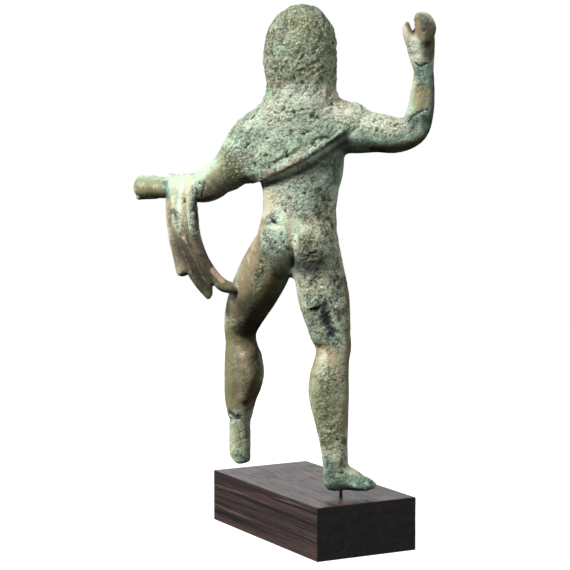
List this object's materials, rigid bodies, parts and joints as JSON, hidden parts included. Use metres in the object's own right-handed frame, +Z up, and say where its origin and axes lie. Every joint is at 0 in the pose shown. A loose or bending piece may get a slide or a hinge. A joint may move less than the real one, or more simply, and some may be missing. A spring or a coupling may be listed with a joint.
{
  "type": "votive bronze statuette on a block",
  "caption": "Striding nude hero in a lion's skin, arm raised, one foot lost, solid cast and pinned to a dark wooden block.",
  "frame": {"origin": "centre of the block's underside", "axes": "+Z up, the block's long sides along Y and its short ones along X; the figure strides towards -Y and is turned 28.5 degrees from it, towards +X on his left"},
  "size_m": [0.0893, 0.0986, 0.203],
  "materials": {
    "patinated_bronze": "ancient cast bronze under a pitted grey-green patina, olive brown where it is smooth",
    "pin_steel": "dulled steel rod",
    "dark_wood": "near-black streaked hardwood, waxed to a low gloss"
  },
  "bodies": {
    "root": {"figure": "patinated_bronze", "mounting_pin": "pin_steel", "base_block": "dark_wood"}
  },
  "joints": []
}
